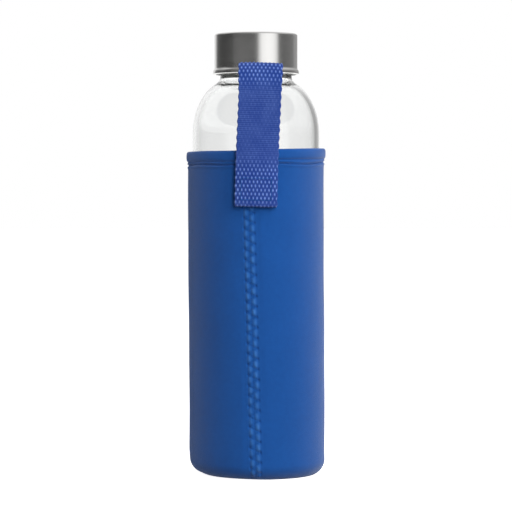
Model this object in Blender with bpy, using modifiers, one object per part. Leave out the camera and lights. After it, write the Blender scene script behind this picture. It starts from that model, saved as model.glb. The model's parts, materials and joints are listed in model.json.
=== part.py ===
"""Glass water bottle with a steel screw cap, in a neoprene sleeve with a webbing carry strap.

Metres, +Z up. The origin is at the middle of the underside of the sleeve's base, and Z is the
bottle's axis. The strap and the sleeve's side seam face -Y.
"""
import math

import bmesh
import bpy
from mathutils import Matrix, Vector

# ---------------------------------------------------------------- driving dimensions

TOTAL_HEIGHT = 0.220           # floor to the top of the cap
FIT = 0.0003                   # gap between pieces that touch
TURNED_STEPS = 48              # facets round a turned piece
CORNER_STEPS = 5               # facets round a corner of a profile

# Glass
GLASS_RADIUS = 0.03165
GLASS_WALL = 0.0022
GLASS_FLOOR = 0.0040           # thickness of the glass under the water
FLOOR_FILLET = 0.0050          # inside corner between floor and wall
BEARING_WIDTH = 0.00435        # flat ring between the heel's curve and the hollow under the glass
PUNT_RISE = 0.0015
SHOULDER_DEPTH = 0.0186        # how far the shoulder's curve reaches in towards the axis
SHOULDER_RISE = 0.0270         # how far it climbs
NECK_RADIUS = 0.0179           # outside of the neck, which is also the thread's root
NECK_HEIGHT = 0.0186           # from the shoulder's curve to the lip
NECK_WALL = 0.0026
NECK_FILLET = 0.0026
LIP_FILLET = 0.0008

# Screw thread between neck and cap
THREAD_STARTS = 3
THREAD_LEAD = 0.0126           # rise of the cap in one turn
THREAD_DEPTH = 0.0009          # how far the glass ridges stand out from the neck
THREAD_CLEARANCE = 0.00035     # radial, at both crests
GLASS_RIDGE_WIDTH = 0.0015
CAP_RIDGE_WIDTH = 0.0013
RIDGE_SWEEP = math.radians(150)
RIDGE_STEPS = 20

# Cap
LINER_WALL = 0.00085           # liner's wall outside the thread
SHELL_WALL = 0.0005
SHELL_FILLET = 0.0010
CAP_HEIGHT = 0.0208
FLARE_REACH = 0.0008           # how far the rolled lip stands out from the shell
FLARE_HEIGHT = 0.0032
INSERT_TOP = 0.0012            # thickness of the liner's top plate
GASKET_THICKNESS = 0.0018
GASKET_WIDTH = 0.0045
PLUG_WALL = 0.0014             # ring that centres the gasket
PLUG_DROP = 0.0014

# Sleeve
SLEEVE_WALL = 0.0020
SLEEVE_SETBACK = 0.0085        # from the start of the glass shoulder down to the sleeve's top
HEEL_RADIUS = 0.0080
HEM_HEIGHT = 0.0060
HEM_THICKNESS = 0.00285
HEM_GROOVE = 0.0002
HEEL_LAND = 0.00185            # flat ring between the heel's curve and the base disc
BASE_CHAMFER = 0.0012          # the V round the base, where its stitching lies
STITCH_RADIUS = 0.0003

# Side seam
SEAM_WIDTH = 0.0060
SEAM_PITCH = 0.0051            # one full zigzag
SEAM_TOP_SHIFT = -0.0030       # sideways, because the seam runs slightly askew
SEAM_END_GAP = 0.0012

# Strap
STRAP_WIDTH = 0.0208
STRAP_THICKNESS = 0.0013
STRAP_PLY_GAP = 0.0002
STRAP_SEWN_HEIGHT = 0.0166
STRAP_SEWN_DROP = 0.0107       # from the sleeve's top down to the top of the sewn end
STRAP_LOOP_HEIGHT = 0.0530
STRAP_LEAN = math.radians(1.35)
STRAP_FOLD_RADIUS = 0.0043     # centre line of the fold at the top
LOOP_CLEARANCE = 0.0006        # between the loop's back and the bottle's way out
BOX_STITCH_INSET = 0.0030

# ---------------------------------------------------------------- sizes that follow

SLEEVE_INNER = GLASS_RADIUS + FIT
SLEEVE_OUTER = SLEEVE_INNER + SLEEVE_WALL
HEEL_CENTRE = SLEEVE_OUTER - HEEL_RADIUS
BASE_RADIUS = HEEL_CENTRE - HEEL_LAND
PUNT_RADIUS = HEEL_CENTRE - BEARING_WIDTH
STITCH_TRACK = SLEEVE_OUTER + FIT + STITCH_RADIUS

SHELL_INNER_TOP = TOTAL_HEIGHT - SHELL_WALL
INSERT_TOP_Z = SHELL_INNER_TOP - FIT
INSERT_CEILING = INSERT_TOP_Z - INSERT_TOP
GASKET_TOP = INSERT_CEILING - FIT
GLASS_TOP = GASKET_TOP - GASKET_THICKNESS - FIT
GLASS_BOTTOM = SLEEVE_WALL + FIT

SHOULDER_CENTRE_R = GLASS_RADIUS - SHOULDER_DEPTH
SHOULDER_CENTRE_Z = GLASS_TOP - NECK_HEIGHT - SHOULDER_RISE
SLEEVE_TOP = SHOULDER_CENTRE_Z - SLEEVE_SETBACK

RIDGE_CREST = NECK_RADIUS + THREAD_DEPTH
INSERT_BORE = RIDGE_CREST + THREAD_CLEARANCE
INSERT_CREST = NECK_RADIUS + THREAD_CLEARANCE
INSERT_OUTER = INSERT_BORE + LINER_WALL
CAP_RADIUS = INSERT_OUTER + FIT + SHELL_WALL
CAP_BOTTOM = TOTAL_HEIGHT - CAP_HEIGHT
THREAD_PITCH = THREAD_LEAD / THREAD_STARTS

STRAP_BACK = -(STITCH_TRACK + STITCH_RADIUS + FIT)
STRAP_STACK = 2 * STRAP_THICKNESS + STRAP_PLY_GAP
STRAP_FRONT = STRAP_BACK - STRAP_STACK
STRAP_SEWN_TOP = SLEEVE_TOP - STRAP_SEWN_DROP
HINGE_POINT = Vector((0.0, STRAP_FRONT, STRAP_SEWN_TOP + FIT / 2))

# ---------------------------------------------------------------- helpers


def clear_scene():
    """Removes whatever the opened file holds."""
    for obj in list(bpy.data.objects):
        bpy.data.objects.remove(obj, do_unlink=True)


def make_collection(name):
    collection = bpy.data.collections.new(name)
    bpy.context.scene.collection.children.link(collection)
    return collection


def make_material(name, colour, roughness, metallic=0.0, transmission=0.0):
    material = bpy.data.materials.new(name)
    material.use_nodes = True
    shader = material.node_tree.nodes["Principled BSDF"]
    shader.inputs["Base Color"].default_value = (*colour, 1.0)
    shader.inputs["Roughness"].default_value = roughness
    shader.inputs["Metallic"].default_value = metallic
    shader.inputs["Transmission Weight"].default_value = transmission
    material.diffuse_color = (*colour, 1.0)
    return material


def link_mesh(name, bm, collection, material=None):
    """Turns a bmesh into a named, smooth-shaded object."""
    mesh = bpy.data.meshes.new(name)
    bm.to_mesh(mesh)
    bm.free()
    mesh.shade_smooth()
    mesh.set_sharp_from_angle(angle=math.radians(35))
    if material:
        mesh.materials.append(material)
    obj = bpy.data.objects.new(name, mesh)
    collection.objects.link(obj)
    return obj


def arc(centre_r, centre_z, radius_r, radius_z, start_deg, end_deg, steps=CORNER_STEPS):
    """Points along part of an ellipse, as (radius, height) pairs."""
    points = []
    for index in range(steps + 1):
        angle = math.radians(start_deg + (end_deg - start_deg) * index / steps)
        points.append((centre_r + radius_r * math.cos(angle), centre_z + radius_z * math.sin(angle)))
    return points


def bend(start, corner, end, steps=CORNER_STEPS):
    """Points of a curve that leaves start towards corner and arrives at end from it."""
    points = []
    for index in range(steps + 1):
        t = index / steps
        weights = ((1 - t) ** 2, 2 * t * (1 - t), t ** 2)
        points.append(tuple(sum(w * p[k] for w, p in zip(weights, (start, corner, end))) for k in (0, 1)))
    return points


def without_repeats(points):
    kept = [points[0]]
    for point in points[1:]:
        if math.dist(point, kept[-1]) > 1e-7:
            kept.append(point)
    return kept


def turned(name, profile, closed, collection, material):
    """A profile of (radius, height) points turned round Z. It runs down its outer side."""
    bm = bmesh.new()
    verts = [bm.verts.new((r, 0.0, z)) for r, z in without_repeats(profile)]
    for first, second in zip(verts, verts[1:]):
        bm.edges.new((first, second))
    if closed:
        bm.edges.new((verts[-1], verts[0]))
    obj = link_mesh(name, bm, collection, material)
    screw = obj.modifiers.new("Turn", "SCREW")
    screw.axis = "Z"
    screw.steps = TURNED_STEPS
    screw.render_steps = TURNED_STEPS
    screw.use_merge_vertices = True
    screw.merge_threshold = 1e-6
    screw.use_smooth_shade = True
    return obj


def tube(name, points, radius, cyclic, collection, material):
    """A thread of round section along points."""
    curve = bpy.data.curves.new(name, "CURVE")
    curve.dimensions = "3D"
    curve.bevel_depth = radius
    curve.bevel_resolution = 2
    curve.use_fill_caps = not cyclic
    spline = curve.splines.new("POLY")
    spline.points.add(len(points) - 1)
    for target, point in zip(spline.points, points):
        target.co = (*point, 1.0)
    spline.use_cyclic_u = cyclic
    curve.materials.append(material)
    obj = bpy.data.objects.new(name, curve)
    collection.objects.link(obj)
    return obj


def ring_points(radius, height, count):
    steps = [2 * math.pi * index / count for index in range(count)]
    return [(radius * math.cos(a), radius * math.sin(a), height) for a in steps]


def thread_ridges(name, collection, middle_z, root, crest, width):
    """Helical ridges that fade out at both ends, ready to be joined to a wall."""
    bm = bmesh.new()
    for start in range(THREAD_STARTS):
        offset = 2 * math.pi * start / THREAD_STARTS
        rings = []
        for index in range(RIDGE_STEPS + 1):
            along = index / RIDGE_STEPS
            fade = min(1.0, 5 * along, 5 * (1 - along))
            tip = root + (crest - root) * max(fade, 0.1)
            angle = offset + RIDGE_SWEEP * along
            height = middle_z + THREAD_LEAD * RIDGE_SWEEP * (along - 0.5) / (2 * math.pi)
            section = ((root, -width / 2), (tip, -width / 4), (tip, width / 4), (root, width / 2))
            rings.append([
                bm.verts.new((r * math.cos(angle), r * math.sin(angle), height + z))
                for r, z in section
            ])
        for near, far in zip(rings, rings[1:]):
            for k in range(4):
                bm.faces.new((near[k], near[(k + 1) % 4], far[(k + 1) % 4], far[k]))
        bm.faces.new(rings[0])
        bm.faces.new(reversed(rings[-1]))
    bmesh.ops.recalc_face_normals(bm, faces=bm.faces)
    obj = link_mesh(name, bm, collection)
    obj.hide_render = True
    obj.display_type = "WIRE"
    return obj


def unite(obj, other):
    modifier = obj.modifiers.new("Join " + other.name, "BOOLEAN")
    modifier.operation = "UNION"
    modifier.object = other


def lean(obj, pivot):
    """Tips a strap piece sideways about pivot, as the real strap is sewn slightly askew."""
    obj.matrix_world = Matrix.Translation(pivot) @ Matrix.Rotation(STRAP_LEAN, 4, "Y")


# ---------------------------------------------------------------- bottle


def flask_side(inset, neck, rise_steps=10):
    """The flask's side from the top of the neck to the start of the wall, moved in by inset."""
    depth = SHOULDER_DEPTH - inset
    rise = SHOULDER_RISE - inset
    meet = neck + NECK_FILLET
    end_angle = math.acos((meet - SHOULDER_CENTRE_R) / depth)
    shoulder = arc(SHOULDER_CENTRE_R, SHOULDER_CENTRE_Z, depth, rise,
                   math.degrees(end_angle), 0, rise_steps)
    slope = (rise * math.cos(end_angle)) / (depth * math.sin(end_angle))
    corner_z = shoulder[0][1] + NECK_FILLET * slope
    fillet = bend((neck, corner_z + NECK_FILLET * slope), (neck, corner_z), shoulder[0], 4)
    return fillet + shoulder


def make_glass_bottle(parts, cutters):
    inner_neck = NECK_RADIUS - NECK_WALL
    inner_wall = GLASS_RADIUS - GLASS_WALL
    floor_z = GLASS_BOTTOM + GLASS_FLOOR
    heel = HEEL_RADIUS - SLEEVE_WALL - FIT
    inside = [(0.0, floor_z + PUNT_RISE / 2), (PUNT_RADIUS / 2, floor_z + PUNT_RISE / 3)]
    inside += arc(inner_wall - FLOOR_FILLET, floor_z + FLOOR_FILLET, FLOOR_FILLET, FLOOR_FILLET, -90, 0)
    inside += reversed(flask_side(GLASS_WALL, inner_neck, 8))
    lip = arc(inner_neck + LIP_FILLET, GLASS_TOP - LIP_FILLET, LIP_FILLET, LIP_FILLET, 180, 90, 3)
    lip += arc(NECK_RADIUS - LIP_FILLET, GLASS_TOP - LIP_FILLET, LIP_FILLET, LIP_FILLET, 90, 0, 3)
    outside = flask_side(0.0, NECK_RADIUS)
    outside += arc(HEEL_CENTRE, HEEL_RADIUS, heel, heel, 0, -90)
    punt = [(PUNT_RADIUS, GLASS_BOTTOM), (PUNT_RADIUS / 2, GLASS_BOTTOM + PUNT_RISE * 0.75)]
    punt.append((0.0, GLASS_BOTTOM + PUNT_RISE))
    glass = make_material("clear_glass", (0.95, 0.97, 0.97), 0.02, transmission=1.0)
    bottle = turned("glass_bottle", inside + lip + outside + punt, False, parts, glass)
    ridges = thread_ridges("glass_ridges", cutters, thread_middle(), NECK_RADIUS - NECK_WALL / 4,
                           RIDGE_CREST, GLASS_RIDGE_WIDTH)
    unite(bottle, ridges)
    return bottle


def thread_middle():
    """Height of the middle of the glass ridges."""
    return (CAP_BOTTOM + GLASS_TOP) / 2


# ---------------------------------------------------------------- cap


def make_cap_shell(parts):
    """Drawn steel: the sheet's outer line down, round the rolled lip, and its inner line up."""
    shoulder_z = CAP_BOTTOM + FLARE_HEIGHT
    lip = CAP_RADIUS + FLARE_REACH
    roll = FLARE_HEIGHT * 0.3
    outer = [(0.0, TOTAL_HEIGHT)]
    outer += arc(CAP_RADIUS - SHELL_FILLET, TOTAL_HEIGHT - SHELL_FILLET, SHELL_FILLET, SHELL_FILLET, 90, 0)
    outer += [(CAP_RADIUS, shoulder_z)]
    outer += arc(lip - roll, CAP_BOTTOM + roll, roll, roll, 40, -90)
    tucked = CAP_RADIUS - SHELL_WALL
    inner_fillet = SHELL_FILLET - SHELL_WALL
    inner = [(tucked, CAP_BOTTOM), (tucked, SHELL_INNER_TOP - inner_fillet)]
    inner += arc(tucked - inner_fillet, SHELL_INNER_TOP - inner_fillet, inner_fillet, inner_fillet, 0, 90, 3)
    inner.append((0.0, SHELL_INNER_TOP))
    steel = make_material("brushed_steel", (0.60, 0.60, 0.60), 0.28, metallic=1.0)
    return turned("cap_shell", outer + inner, False, parts, steel)


def make_cap_insert(parts, cutters):
    skirt_bottom = CAP_BOTTOM + FIT
    plug_outer = INSERT_BORE - FIT - GASKET_WIDTH - FIT
    profile = [(0.0, INSERT_TOP_Z), (INSERT_OUTER, INSERT_TOP_Z), (INSERT_OUTER, skirt_bottom)]
    profile += [(INSERT_BORE, skirt_bottom), (INSERT_BORE, INSERT_CEILING)]
    profile += [(plug_outer, INSERT_CEILING), (plug_outer, INSERT_CEILING - PLUG_DROP)]
    profile += [(plug_outer - PLUG_WALL, INSERT_CEILING - PLUG_DROP)]
    profile += [(plug_outer - PLUG_WALL, INSERT_CEILING), (0.0, INSERT_CEILING)]
    plastic = make_material("liner_plastic", (0.80, 0.80, 0.78), 0.45)
    insert = turned("cap_insert", profile, False, parts, plastic)
    wall_middle = (INSERT_BORE + INSERT_OUTER) / 2
    ridges = thread_ridges("cap_ridges", cutters, thread_middle() - THREAD_PITCH / 2, wall_middle,
                           INSERT_CREST, CAP_RIDGE_WIDTH)
    unite(insert, ridges)
    return insert


def make_cap_gasket(parts):
    outer = INSERT_BORE - FIT
    inner = outer - GASKET_WIDTH
    top = GASKET_TOP
    bottom = top - GASKET_THICKNESS
    profile = [(inner, bottom), (inner, top), (outer, top), (outer, bottom)]
    rubber = make_material("clear_silicone", (0.85, 0.85, 0.82), 0.5)
    return turned("cap_gasket", profile, True, parts, rubber)


# ---------------------------------------------------------------- sleeve


def hem_outline():
    """The turned hem, from its inside face over the top to where it meets the tube."""
    middle_r = SLEEVE_INNER + HEM_THICKNESS / 2
    middle_z = SLEEVE_TOP - HEM_HEIGHT / 2
    points = []
    for step in range(13):
        angle = math.radians(180 - 20 * step)
        across = math.copysign(abs(math.cos(angle)) ** (2 / 3), math.cos(angle))
        up = math.copysign(abs(math.sin(angle)) ** (2 / 3), math.sin(angle))
        points.append((middle_r + across * HEM_THICKNESS / 2, middle_z + up * HEM_HEIGHT / 2))
    return points


def make_sleeve_tube(parts):
    inner_heel = HEEL_RADIUS - SLEEVE_WALL
    edge = BASE_RADIUS + FIT
    groove_z = SLEEVE_TOP - HEM_HEIGHT - HEM_GROOVE
    inside = [(edge, BASE_CHAMFER), (edge, SLEEVE_WALL)]
    inside += arc(HEEL_CENTRE, HEEL_RADIUS, inner_heel, inner_heel, -90, 0)
    outside = [(SLEEVE_OUTER - HEM_GROOVE, groove_z), (SLEEVE_OUTER, groove_z - 3 * HEM_GROOVE)]
    outside += arc(HEEL_CENTRE, HEEL_RADIUS, HEEL_RADIUS, HEEL_RADIUS, 0, -90, 8)
    outside += [(edge + BASE_CHAMFER, 0.0)]
    return turned("sleeve_tube", inside + hem_outline() + outside, True, parts, neoprene())


def make_sleeve_base(parts):
    profile = [(0.0, SLEEVE_WALL), (BASE_RADIUS, SLEEVE_WALL), (BASE_RADIUS, BASE_CHAMFER)]
    profile += [(BASE_RADIUS - BASE_CHAMFER, 0.0), (0.0, 0.0)]
    return turned("sleeve_base", profile, False, parts, neoprene())


def neoprene():
    return bpy.data.materials.get("neoprene") or make_material("neoprene", (0.02, 0.09, 0.36), 0.9)


def thread_finish():
    return bpy.data.materials.get("thread") or make_material("thread", (0.04, 0.12, 0.42), 0.7)


def make_side_seam_thread(parts):
    """Zigzag down the front of the tube, slightly askew."""
    low = HEEL_RADIUS + SEAM_END_GAP
    high = SLEEVE_TOP - HEM_HEIGHT - SEAM_END_GAP - SEAM_PITCH / 4
    halves = int((high - low) / (SEAM_PITCH / 2))
    points = []
    for index in range(halves + 1):
        height = low + index * SEAM_PITCH / 2
        side = SEAM_WIDTH / 2 if index % 2 else -SEAM_WIDTH / 2
        across = side + SEAM_TOP_SHIFT * (height - low) / (high - low)
        angle = across / STITCH_TRACK
        points.append((STITCH_TRACK * math.sin(angle), -STITCH_TRACK * math.cos(angle), height))
    return tube("side_seam_thread", points, STITCH_RADIUS, False, parts, thread_finish())


def make_hem_thread(parts):
    height = SLEEVE_TOP - HEM_HEIGHT - 2 * HEM_GROOVE
    points = ring_points(STITCH_TRACK, height, TURNED_STEPS)
    return tube("hem_thread", points, STITCH_RADIUS, True, parts, thread_finish())


def make_base_seam_thread(parts):
    height = STITCH_RADIUS * 1.5
    points = ring_points(BASE_RADIUS + FIT / 2, height, TURNED_STEPS)
    return tube("base_seam_thread", points, STITCH_RADIUS, True, parts, thread_finish())


# ---------------------------------------------------------------- strap


def webbing():
    return bpy.data.materials.get("webbing") or make_material("webbing", (0.04, 0.09, 0.40), 0.75)


def make_strap_sewn_end(parts):
    """The two layers under the stitching, as one flat block."""
    bm = bmesh.new()
    bmesh.ops.create_cube(bm, size=1.0)
    bmesh.ops.scale(bm, verts=bm.verts, vec=(STRAP_WIDTH, STRAP_STACK, STRAP_SEWN_HEIGHT))
    drop = STRAP_SEWN_HEIGHT / 2 + FIT / 2
    bmesh.ops.translate(bm, verts=bm.verts, vec=(0.0, STRAP_STACK / 2, -drop))
    obj = link_mesh("strap_sewn_end", bm, parts, webbing())
    lean(obj, HINGE_POINT)
    bevel = obj.modifiers.new("Worn edges", "BEVEL")
    bevel.width = STRAP_THICKNESS / 4
    bevel.segments = 2
    bevel.limit_method = "ANGLE"
    return obj


def loop_line():
    """The loop's centre line, as (depth, height) pairs from the hinge point: up the front layer,
    over the fold and down the back layer."""
    front = STRAP_THICKNESS / 2
    back = STRAP_STACK - STRAP_THICKNESS / 2
    foot = FIT / 2
    crown = STRAP_LOOP_HEIGHT - STRAP_THICKNESS / 2 - STRAP_FOLD_RADIUS
    crown_back = -(GLASS_RADIUS + LOOP_CLEARANCE) - STRAP_FRONT - STRAP_THICKNESS / 2
    fold_middle = crown_back - STRAP_FOLD_RADIUS
    points = bend((front, foot), (front, crown * 0.35), (fold_middle - STRAP_FOLD_RADIUS, crown), 6)
    points += arc(fold_middle, crown, STRAP_FOLD_RADIUS, STRAP_FOLD_RADIUS, 180, 0, 8)
    points += bend((crown_back, crown), (back, crown * 0.55), (back, foot), 8)
    return without_repeats(points)


def make_strap_loop(parts):
    bm = bmesh.new()
    line = [bm.verts.new((-STRAP_WIDTH / 2, depth, height)) for depth, height in loop_line()]
    edges = [bm.edges.new(pair) for pair in zip(line, line[1:])]
    swept = bmesh.ops.extrude_edge_only(bm, edges=edges)
    moved = [item for item in swept["geom"] if isinstance(item, bmesh.types.BMVert)]
    bmesh.ops.translate(bm, verts=moved, vec=(STRAP_WIDTH, 0.0, 0.0))
    obj = link_mesh("strap_loop", bm, parts, webbing())
    lean(obj, HINGE_POINT)
    solidify = obj.modifiers.new("Webbing thickness", "SOLIDIFY")
    solidify.thickness = STRAP_THICKNESS
    solidify.offset = 0.0
    solidify.use_even_offset = True
    return obj


def make_strap_stitching(parts):
    """One closed line of stitches inside the edges of the sewn end."""
    half = STRAP_WIDTH / 2 - BOX_STITCH_INSET
    top = -BOX_STITCH_INSET
    bottom = BOX_STITCH_INSET - STRAP_SEWN_HEIGHT
    proud = -(FIT + STITCH_RADIUS)
    corners = [(-half, top), (half, top), (half, bottom), (-half, bottom)]
    points = [(x, proud, z) for x, z in corners]
    obj = tube("strap_stitching", points, STITCH_RADIUS, True, parts, thread_finish())
    lean(obj, HINGE_POINT)
    return obj


# ---------------------------------------------------------------- assembly


def main():
    clear_scene()
    parts = make_collection("glass_water_bottle")
    cutters = make_collection("cutters")
    make_glass_bottle(parts, cutters)
    make_cap_shell(parts)
    make_cap_insert(parts, cutters)
    make_cap_gasket(parts)
    make_sleeve_tube(parts)
    make_sleeve_base(parts)
    make_side_seam_thread(parts)
    make_hem_thread(parts)
    make_base_seam_thread(parts)
    make_strap_sewn_end(parts)
    make_strap_loop(parts)
    make_strap_stitching(parts)


main()
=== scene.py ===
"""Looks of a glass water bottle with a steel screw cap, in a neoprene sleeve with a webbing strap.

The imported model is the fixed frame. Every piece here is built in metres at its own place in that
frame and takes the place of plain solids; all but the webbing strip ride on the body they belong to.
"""
from __future__ import annotations

import json
import logging
import math
from contextlib import contextmanager
from dataclasses import dataclass
from enum import Enum
from typing import Callable, Iterator, Sequence

import bpy
import numpy as np
from mathutils import Matrix, Vector


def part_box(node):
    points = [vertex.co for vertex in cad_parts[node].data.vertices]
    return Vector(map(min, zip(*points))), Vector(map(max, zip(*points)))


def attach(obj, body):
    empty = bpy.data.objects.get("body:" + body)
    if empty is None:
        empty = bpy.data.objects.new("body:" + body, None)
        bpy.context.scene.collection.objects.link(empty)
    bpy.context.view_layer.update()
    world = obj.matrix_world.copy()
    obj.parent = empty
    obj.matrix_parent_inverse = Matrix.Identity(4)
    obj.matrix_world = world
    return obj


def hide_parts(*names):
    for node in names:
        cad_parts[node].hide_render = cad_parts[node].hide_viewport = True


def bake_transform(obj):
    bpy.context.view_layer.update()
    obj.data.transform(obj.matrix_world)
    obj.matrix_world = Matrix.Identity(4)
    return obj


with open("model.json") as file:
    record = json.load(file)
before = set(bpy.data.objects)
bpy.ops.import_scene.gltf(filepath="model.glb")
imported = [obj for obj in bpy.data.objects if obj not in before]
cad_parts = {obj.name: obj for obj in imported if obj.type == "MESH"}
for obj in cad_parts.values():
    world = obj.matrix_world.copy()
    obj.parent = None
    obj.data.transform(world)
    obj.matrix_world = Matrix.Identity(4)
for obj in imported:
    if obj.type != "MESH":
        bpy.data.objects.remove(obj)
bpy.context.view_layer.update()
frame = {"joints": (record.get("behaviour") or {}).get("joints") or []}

LOG = logging.getLogger("glass_water_bottle")
MM = 0.001
FIT = 0.3 * MM                 # gap that touching pieces keep in the frame
MERGE = 1e-6                   # points nearer than this are one
SLIVER = 1e-7                  # edges shorter than this are dropped
CRISP = 35.0                   # edges sharper than this many degrees stay crisp
CLOTH_CRISP = 60.0             # the same on cloth and thread
ANGLE_SLACK = 1e-4             # keeps a ridge's first points from counting as a whole turn
CLOTH_MAP = "cloth"            # UV map with places on the flat cloth, in metres

Point = tuple[float, float]
Triple = tuple[float, float, float]
Array = np.ndarray


# ------------------------------------------------------------------------- outlines


def arc(centre: Point, radii: Point, start: float, end: float, steps: int) -> list[Point]:
    """Points along part of an ellipse.

    Args:
        centre: radius and height of its middle.
        radii: its half width and half height.
        start: first angle in degrees, from the outward direction towards up.
        end: last angle in degrees.
        steps: number of straight pieces.

    Returns:
        (radius, height) points.
    """
    angles = np.radians(np.linspace(start, end, steps + 1))
    return [(centre[0] + radii[0] * math.cos(a), centre[1] + radii[1] * math.sin(a))
            for a in angles]


def bend(start: Point, corner: Point, end: Point, steps: int) -> list[Point]:
    """Points of a curve that leaves start towards corner and arrives at end from it.

    Args:
        start: first point.
        corner: where the two end directions cross.
        end: last point.
        steps: number of straight pieces.

    Returns:
        steps + 1 points.
    """
    points = []
    for t in np.linspace(0.0, 1.0, steps + 1):
        pulls = list(zip(((1 - t) ** 2, 2 * t * (1 - t), t ** 2), (start, corner, end)))
        points.append(tuple(sum(pull * point[k] for pull, point in pulls) for k in (0, 1)))
    return points


class Corner(Enum):
    """The corners of a section, in the order in which a clockwise outline meets them."""

    TOP_INNER = 0
    TOP_OUTER = 1
    BOTTOM_OUTER = 2
    BOTTOM_INNER = 3


def round_corner(corner: Point, size: float, which: Corner, steps: int) -> list[Point]:
    """A quarter circle in place of one corner of a clockwise outline.

    Args:
        corner: the sharp corner.
        size: radius of the rounding.
        which: which corner of the section it is.
        steps: number of straight pieces.

    Returns:
        (radius, height) points.
    """
    outward = -1 if which in (Corner.TOP_OUTER, Corner.BOTTOM_OUTER) else 1
    upward = -1 if which in (Corner.TOP_INNER, Corner.TOP_OUTER) else 1
    centre = (corner[0] + size * outward, corner[1] + size * upward)
    first = 180 - 90 * which.value
    return arc(centre, (size, size), first, first - 90, steps)


def straight(start: Point, end: Point, spacing: float) -> list[Point]:
    """Evenly spaced points from start up to, and without, end."""
    count = max(1, round(math.dist(start, end) / spacing))
    return [tuple(np.add(start, np.subtract(end, start) * k / count)) for k in range(count)]


def no_repeats(points: Sequence[Point]) -> list[Point]:
    """The same points without any that repeats the one before it.

    Args:
        points: the outline.

    Returns:
        The outline, with each point once.
    """
    kept = [points[0]]
    kept += [b for a, b in zip(points, points[1:]) if math.dist(a, b) > SLIVER]
    return kept


def ease(value: Array, low: float, high: float) -> Array:
    """Rises smoothly from 0 at low to 1 at high."""
    share = np.clip((value - low) / (high - low), 0.0, 1.0)
    return share * share * (3 - 2 * share)


def bell(value: Array, middle: float, width: float) -> Array:
    """A soft bump of height 1 round middle."""
    return np.exp(-((value - middle) / width) ** 2)


def travelled(x: Array, y: Array) -> Array:
    """Distance covered along a line by each of its points."""
    return np.concatenate([[0.0], np.cumsum(np.hypot(np.diff(x), np.diff(y)))])


def directions(path: Array, ring: bool) -> Array:
    """Unit direction of a line at each of its points.

    Args:
        path: (n, 2) points.
        ring: whether the last point lies on the first.

    Returns:
        (n, 2) directions.
    """
    along = np.gradient(path, axis=0)
    if ring:
        along[0] = along[-1] = along[0] + along[-1]
    return along / np.linalg.norm(along, axis=1)[:, None]


# ------------------------------------------------------------------------- mesh tools


def pick(obj: bpy.types.Object) -> None:
    """Makes obj the only selected object, and the active one.

    Args:
        obj: the object.
    """
    bpy.ops.object.select_all(action="DESELECT")
    obj.select_set(True)
    bpy.context.view_layer.objects.active = obj


def read_points(obj: bpy.types.Object) -> Array:
    """The mesh's points as an (n, 3) array.

    Args:
        obj: the mesh.

    Returns:
        Its points.
    """
    flat = np.empty(len(obj.data.vertices) * 3)
    obj.data.vertices.foreach_get("co", flat)
    return flat.reshape(-1, 3)


def write_points(obj: bpy.types.Object, points: Array) -> None:
    """Moves the mesh's points."""
    obj.data.vertices.foreach_set("co", points.astype(np.float32).ravel())
    obj.data.update()


@contextmanager
def editing(obj: bpy.types.Object) -> Iterator[None]:
    """Opens a mesh in edit mode with all of it selected, and closes it afterwards.

    Args:
        obj: the mesh.

    Yields:
        Nothing; what stands under the with statement acts on the whole mesh.
    """
    pick(obj)
    bpy.ops.object.mode_set(mode="EDIT")
    bpy.ops.mesh.select_all(action="SELECT")
    yield
    bpy.ops.object.mode_set(mode="OBJECT")


def lay_cloth(obj: bpy.types.Object, flat: Array) -> None:
    """Keeps each point's place on the flat cloth in the UV map that the finishes read.

    Args:
        obj: the mesh.
        flat: (n, 2) places in metres.
    """
    corners = np.empty(len(obj.data.loops), dtype=np.int32)
    obj.data.loops.foreach_get("vertex_index", corners)
    layer = obj.data.uv_layers.active or obj.data.uv_layers.new(name=CLOTH_MAP)
    layer.name = CLOTH_MAP
    layer.data.foreach_set("uv", flat[corners].astype(np.float32).ravel())


def mark(obj: bpy.types.Object, name: str, values: Array) -> None:
    """Keeps one number for each point, under a name that a finish reads."""
    layer = obj.data.attributes.new(name, "FLOAT", "POINT")
    layer.data.foreach_set("value", values.astype(np.float32))


def close_up(obj: bpy.types.Object, sharp: float = CRISP) -> None:
    """Merges the seam's doubled points, turns the faces outwards and shades the mesh smooth.

    Args:
        obj: the mesh to clean.
        sharp: edges sharper than this angle in degrees stay crisp.
    """
    with editing(obj):
        bpy.ops.mesh.remove_doubles(threshold=MERGE)
        bpy.ops.mesh.dissolve_degenerate(threshold=SLIVER)
        bpy.ops.mesh.select_all(action="SELECT")
        bpy.ops.mesh.normals_make_consistent(inside=False)
    bpy.ops.object.shade_smooth_by_angle(angle=math.radians(sharp))


def section(name: str, outline: Sequence[Point], ring: bool) -> bpy.types.Object:
    """A wire outline standing in the plane of X and Z.

    Args:
        name: the object's name.
        outline: (radius, height) points.
        ring: whether its last point joins its first.

    Returns:
        The object, with one edge between each two neighbouring points.
    """
    points = no_repeats(outline)
    bpy.ops.object.select_all(action="DESELECT")
    bpy.ops.mesh.primitive_circle_add(vertices=len(points), radius=MM, fill_type="NOTHING")
    obj = bpy.context.object
    obj.name = obj.data.name = name
    write_points(obj, np.array([(r, 0.0, z) for r, z in points]))
    if not ring:
        ends = {0, len(points) - 1}
        pick(obj)
        for vertex in obj.data.vertices:
            vertex.select = vertex.index in ends
        for edge in obj.data.edges:
            edge.select = set(edge.vertices) == ends
        bpy.ops.object.mode_set(mode="EDIT")
        bpy.ops.mesh.select_mode(type="EDGE")
        bpy.ops.mesh.delete(type="EDGE")
        bpy.ops.mesh.select_mode(type="VERT")
        bpy.ops.object.mode_set(mode="OBJECT")
    return obj


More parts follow.
